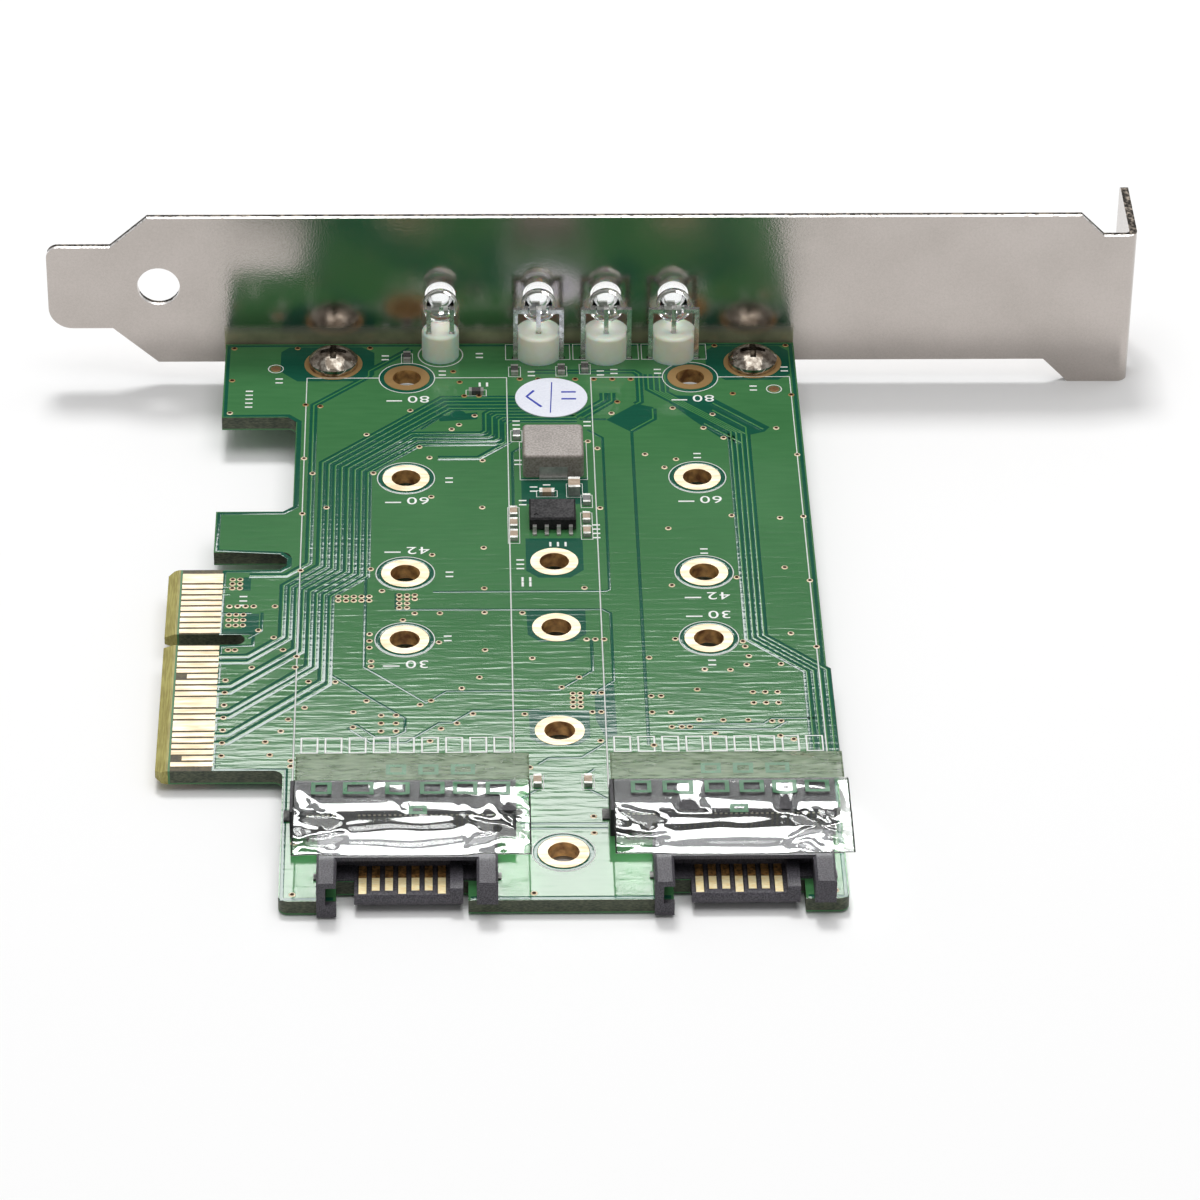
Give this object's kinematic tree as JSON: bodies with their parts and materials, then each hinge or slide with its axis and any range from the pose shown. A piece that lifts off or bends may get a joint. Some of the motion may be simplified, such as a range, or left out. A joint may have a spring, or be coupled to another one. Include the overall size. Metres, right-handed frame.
{
  "type": "ssd adapter card",
  "caption": "Expansion card with an edge connector and folded bracket, holding gum-stick solid-state drives in sockets on both faces, with cable plugs and indicator lamps.",
  "frame": {"origin": "centre of the left column's first drive hole, on the board's front face", "axes": "+Z out of the board's front face, +Y towards the bracket, -X towards the gold fingers"},
  "size_m": [0.12, 0.113, 0.0217],
  "materials": {
    "green_laminate": "glossy green solder mask over glass laminate",
    "gold_plate": "gold plated copper",
    "nickel_steel": "satin nickel plated sheet steel",
    "bright_steel": "bright nickel plated screw",
    "tinned_metal": "bright tin",
    "slate_plastic": "fine grained moulded plastic",
    "chip_plastic": "matt moulding compound",
    "clear_plastic": "clear resin",
    "milky_nylon": "translucent nylon",
    "iron_powder": "pressed and coated iron powder",
    "ceramic_tan": "matt fired ceramic",
    "ceramic_dark": "glazed dark ceramic",
    "label_paper": "coated label paper",
    "clear_film": "clear wrinkled film"
  },
  "bodies": {
    "root": {"circuit_board": "green_laminate", "edge_contacts_top": "gold_plate", "edge_contacts_bottom": "gold_plate", "left_hole_plating": "gold_plate", "right_hole_plating": "gold_plate", "back_hole_plating": "gold_plate", "screw_hole_plating": "gold_plate", "bracket": "nickel_steel", "bracket_screw_left": "bright_steel", "bracket_screw_right": "bright_steel", "left_socket_housing": "slate_plastic", "left_socket_contacts": "gold_plate", "left_socket_hold_downs": "tinned_metal", "right_socket_housing": "slate_plastic", "right_socket_contacts": "gold_plate", "right_socket_hold_downs": "tinned_metal", "back_socket_housing": "slate_plastic", "back_socket_contacts": "gold_plate", "back_socket_hold_downs": "tinned_metal", "left_cable_plug_housing": "slate_plastic", "left_cable_plug_contacts": "gold_plate", "left_cable_plug_board_locks": "tinned_metal", "right_cable_plug_housing": "slate_plastic", "right_cable_plug_contacts": "gold_plate", "right_cable_plug_board_locks": "tinned_metal", "lamp_1_lens": "clear_plastic", "lamp_1_leads": "tinned_metal", "lamp_1_spacer": "milky_nylon", "lamp_2_lens": "clear_plastic", "lamp_2_leads": "tinned_metal", "lamp_2_spacer": "milky_nylon", "lamp_3_lens": "clear_plastic", "lamp_3_leads": "tinned_metal", "lamp_3_spacer": "milky_nylon", "lamp_4_lens": "clear_plastic", "lamp_4_leads": "tinned_metal", "lamp_4_spacer": "milky_nylon", "power_coil": "iron_powder", "power_coil_terminals": "tinned_metal", "regulator_body": "chip_plastic", "regulator_leads": "tinned_metal", "output_capacitor": "ceramic_tan", "output_capacitor_terminals": "tinned_metal", "chip_resistor_bodies": "ceramic_dark", "chip_resistor_terminals": "tinned_metal", "chip_capacitor_bodies": "ceramic_tan", "chip_capacitor_terminals": "tinned_metal", "round_label": "label_paper", "left_cover_film": "clear_film", "right_cover_film": "clear_film"}
  },
  "joints": []
}
